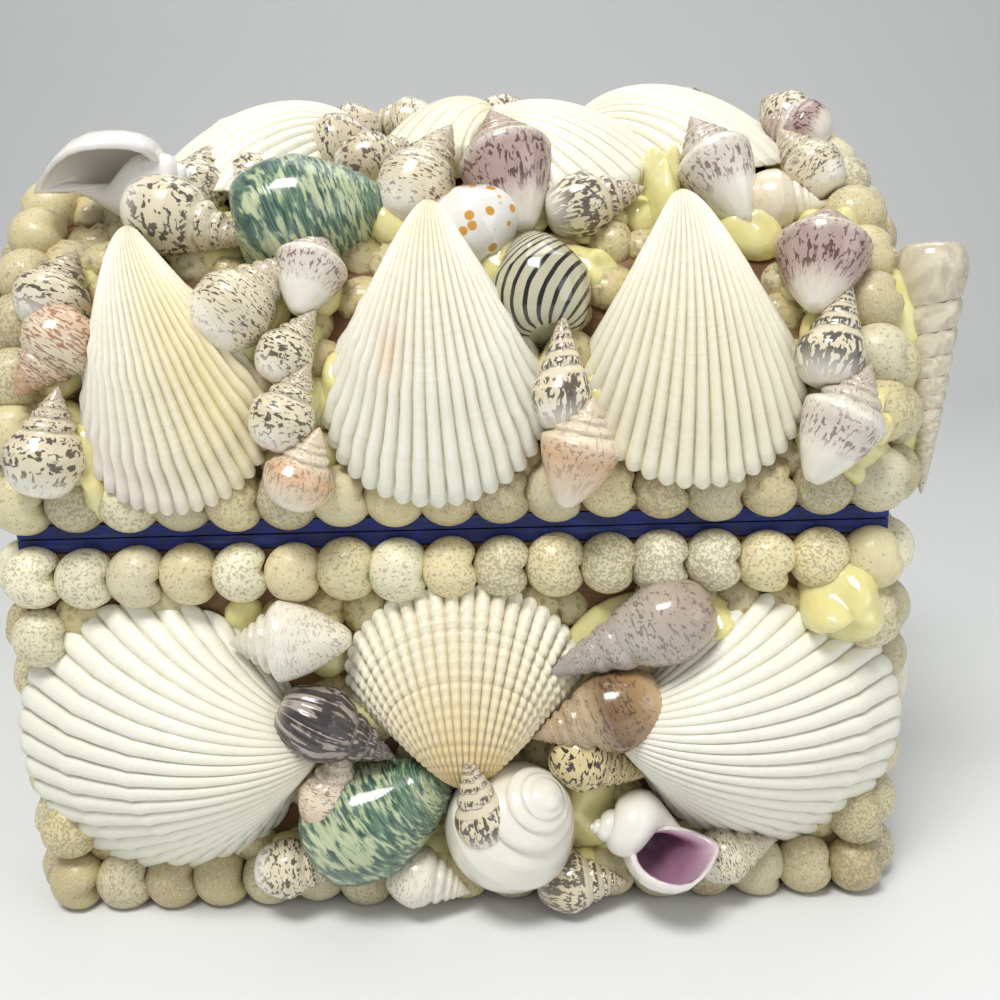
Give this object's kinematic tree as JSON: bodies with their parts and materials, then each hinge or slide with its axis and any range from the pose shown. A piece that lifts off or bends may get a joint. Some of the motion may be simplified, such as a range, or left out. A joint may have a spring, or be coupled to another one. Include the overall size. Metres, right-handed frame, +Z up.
{
  "type": "shell box",
  "caption": "Small lidded souvenir casket covered with sea shells: button snails along every edge, ribbed valves on the faces, a domed lid that lifts off.",
  "frame": {"origin": "centre of the flat underside", "axes": "+X to the right along the casket's length, the front faces -Y, +Z up"},
  "size_m": [0.209, 0.1636, 0.1731],
  "materials": {
    "card": "raw brown card, matte",
    "lining": "deep blue lining, faintly mottled, matte",
    "bead": "glossy cream shell with fine brown speckles",
    "valve": "off-white ribbed shell, satin",
    "turban": "mottled green shell with cream bands, glossy",
    "snail": "cream shell, satin to glossy",
    "stripes": "white shell with black stripes, glossy",
    "cluster": "cream and brown speckled shells in clear yellowed glue"
  },
  "bodies": {
    "root": {"base_box": "card", "base_lining": "lining", "lid_shell": "card", "lid_lining": "lining", "lid_front_valve_left": "valve", "lid_front_valve_centre": "valve", "lid_front_valve_right": "valve", "base_left_ark": "valve", "base_right_ark": "valve", "base_lattice_cockle": "valve", "lid_crown_cockle": "valve", "lid_crown_scallop_large": "valve", "lid_crown_scallop_small": "valve", "lid_crown_clam": "valve", "back_lid_valve_left": "valve", "back_lid_valve_centre": "valve", "back_lid_valve_right": "valve", "back_base_valve_left": "valve", "back_base_valve_centre": "valve", "back_base_valve_right": "valve", "end_right_front_valve": "valve", "end_right_back_valve": "valve", "end_right_lid_valve": "valve", "end_left_front_valve": "valve", "end_left_back_valve": "valve", "end_left_lid_valve": "valve", "lid_green_turban": "turban", "lid_conch": "snail", "lid_striped_nerite": "stripes", "base_moon_snail": "snail", "base_green_turban": "turban", "base_purple_snail": "snail", "base_middle_snail": "snail", "end_right_auger": "snail", "end_left_auger": "snail", "base_top_beads": "bead", "base_bottom_beads": "bead", "lid_bottom_beads": "bead", "corner_beads_front_right": "bead", "corner_beads_front_left": "bead", "corner_beads_back_right": "bead", "corner_beads_back_left": "bead", "arch_beads_right": "bead", "arch_beads_left": "bead", "lid_left_column_cluster": "cluster", "lid_left_gap_cluster": "cluster", "lid_right_gap_cluster": "cluster", "lid_right_column_cluster": "cluster", "lid_band_left_cluster": "cluster", "lid_band_middle_cluster": "cluster", "lid_band_right_cluster": "cluster", "base_left_cluster": "cluster", "base_right_cluster": "cluster", "back_lid_cluster": "cluster", "back_base_cluster": "cluster", "end_right_lid_cluster": "cluster", "end_left_lid_cluster": "cluster", "end_right_back_cluster": "cluster", "end_left_back_cluster": "cluster"}
  },
  "joints": []
}
